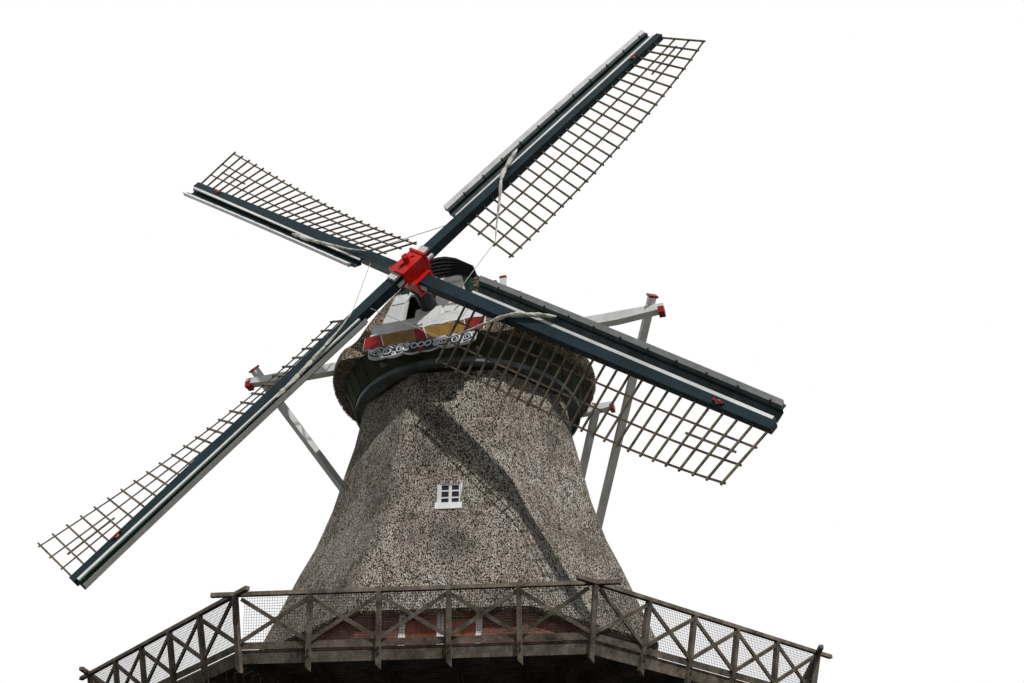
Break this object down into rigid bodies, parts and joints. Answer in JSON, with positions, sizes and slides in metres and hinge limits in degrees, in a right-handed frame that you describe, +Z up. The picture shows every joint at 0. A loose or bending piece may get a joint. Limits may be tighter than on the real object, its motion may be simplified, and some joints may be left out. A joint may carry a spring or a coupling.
{
  "type": "traditional windmill",
  "caption": "Thatched smock windmill with railed stage, turning cap on a braced tail, and common lattice sails on an inclined shaft.",
  "frame": {"origin": "on the tower's axis at ground level, at the middle of the ground floor's underside", "axes": "+Z up; -Y is the side of the tower whose window faces the viewer; +X to the right seen from there"},
  "size_m": [18.7934, 17.6674, 28.79],
  "materials": {
    "brick": "fired brick laid in mortar",
    "thatch": "weathered reed thatch",
    "pale_wood": "pale painted timber",
    "plain_wood": "sawn timber",
    "white_paint": "white painted timber",
    "varnished_wood": "varnished door timber",
    "pane_glass": "window glass",
    "weathered_wood": "weathered bare timber",
    "dark_green_wood": "dark green boarding",
    "tarred_wood": "tarred boarding",
    "beard_paint": "painted board",
    "winch_iron": "painted iron",
    "black_iron": "blackened iron",
    "red_iron": "red painted iron",
    "green_paint": "dark blue-green painted timber",
    "lath_wood": "brown lath timber",
    "board_paint": "dark green and white painted boards",
    "sailcloth": "furled sailcloth"
  },
  "bodies": {
    "tower": {"base_straight": "brick", "base_slanted": "brick", "smock_straight": "thatch", "smock_slanted": "thatch", "curb_ring": "pale_wood", "floors": "plain_wood", "frames": "white_paint", "door_leaves": "varnished_wood", "panes": "pane_glass", "deck": "weathered_wood", "joists": "weathered_wood", "struts": "weathered_wood", "corner_posts": "weathered_wood", "railing_front": "weathered_wood", "railing_front_right": "weathered_wood", "railing_right": "weathered_wood", "railing_rear_right": "weathered_wood", "railing_rear": "weathered_wood", "railing_rear_left": "weathered_wood", "railing_left": "weathered_wood", "railing_front_left": "weathered_wood"},
    "cap": {"cap_frame": "plain_wood", "cap_soffit": "dark_green_wood", "cap_thatch_left": "thatch", "cap_thatch_right": "thatch", "hood": "tarred_wood", "gable": "white_paint", "weather_beam": "white_paint", "beard": "beard_paint", "spreaders": "white_paint", "tail_pole": "white_paint", "braces": "white_paint", "winch": "winch_iron", "brake_lever": "white_paint"},
    "rotor": {"windshaft": "black_iron", "poll_end": "red_iron", "wedges": "white_paint", "stock_outer": "green_paint", "stock_inner": "green_paint", "lattice_1": "lath_wood", "lattice_2": "lath_wood", "lattice_3": "lath_wood", "lattice_4": "lath_wood", "boards_outer": "board_paint", "boards_inner": "board_paint", "cloth_outer": "sailcloth", "cloth_inner": "sailcloth"}
  },
  "joints": [
    {"name": "cap_turn", "type": "hinge", "parent": "tower", "child": "cap", "pos_m": [0, 0, 17.4], "axis": [0, 0, 1], "continuous": true},
    {"name": "sail_spin", "type": "hinge", "parent": "cap", "child": "rotor", "pos_m": [-1.07154, -4.49196, 19.605], "axis": [-0.2263, -0.9485, 0.2219], "continuous": true}
  ]
}
